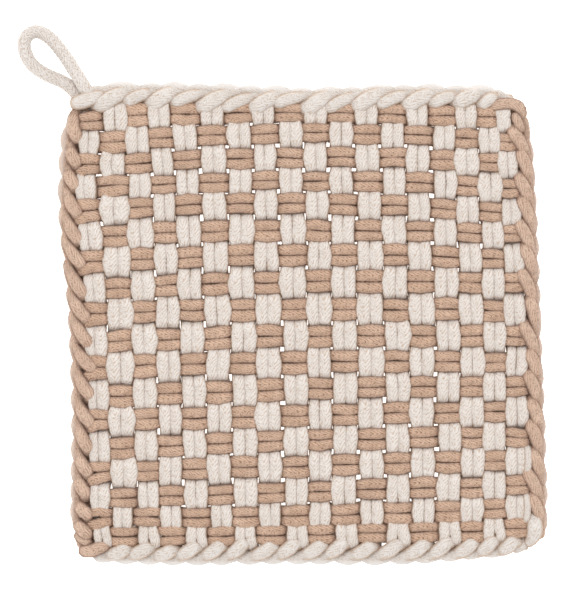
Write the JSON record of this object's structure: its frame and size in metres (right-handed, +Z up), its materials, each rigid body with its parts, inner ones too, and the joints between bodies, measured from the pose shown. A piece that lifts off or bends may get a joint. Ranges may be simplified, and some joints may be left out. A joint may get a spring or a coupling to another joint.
{
  "type": "woven pot holder",
  "caption": "Square flat pot holder woven from doubled cotton cords, with a chain-stitched edge and a cord loop at one corner for hanging.",
  "frame": {"origin": "on the surface it lies on, under the middle of its whole outline, the hanging loop included", "axes": "+X to the right and +Y up the mat as it is seen from above with the hanging loop at the top left corner, +Z up through its thickness"},
  "size_m": [0.2216, 0.225, 0.0104],
  "materials": {
    "cream_loop_cotton": "matt knitted cotton cord",
    "tan_loop_cotton": "matt knitted cotton cord",
    "cream_edging_cotton": "matt knitted cotton cord in chain stitch",
    "tan_edging_cotton": "matt knitted cotton cord in chain stitch",
    "cream_hanging_cotton": "matt knitted cotton cord"
  },
  "bodies": {
    "root": {"warp_loop_01": "cream_loop_cotton", "warp_loop_02": "cream_loop_cotton", "warp_loop_03": "cream_loop_cotton", "warp_loop_04": "cream_loop_cotton", "warp_loop_05": "cream_loop_cotton", "warp_loop_06": "cream_loop_cotton", "warp_loop_07": "cream_loop_cotton", "warp_loop_08": "cream_loop_cotton", "warp_loop_09": "cream_loop_cotton", "warp_loop_10": "cream_loop_cotton", "warp_loop_11": "cream_loop_cotton", "warp_loop_12": "cream_loop_cotton", "warp_loop_13": "cream_loop_cotton", "warp_loop_14": "cream_loop_cotton", "warp_loop_15": "cream_loop_cotton", "warp_loop_16": "cream_loop_cotton", "warp_loop_17": "cream_loop_cotton", "warp_loop_18": "cream_loop_cotton", "weft_loop_01": "tan_loop_cotton", "weft_loop_02": "tan_loop_cotton", "weft_loop_03": "tan_loop_cotton", "weft_loop_04": "tan_loop_cotton", "weft_loop_05": "tan_loop_cotton", "weft_loop_06": "tan_loop_cotton", "weft_loop_07": "tan_loop_cotton", "weft_loop_08": "tan_loop_cotton", "weft_loop_09": "tan_loop_cotton", "weft_loop_10": "tan_loop_cotton", "weft_loop_11": "tan_loop_cotton", "weft_loop_12": "tan_loop_cotton", "weft_loop_13": "tan_loop_cotton", "weft_loop_14": "tan_loop_cotton", "weft_loop_15": "tan_loop_cotton", "weft_loop_16": "tan_loop_cotton", "weft_loop_17": "tan_loop_cotton", "weft_loop_18": "tan_loop_cotton", "edging_left": "tan_edging_cotton", "edging_bottom": "cream_edging_cotton", "edging_right": "tan_edging_cotton", "edging_top": "cream_edging_cotton", "hanging_loop": "cream_hanging_cotton"}
  },
  "joints": []
}
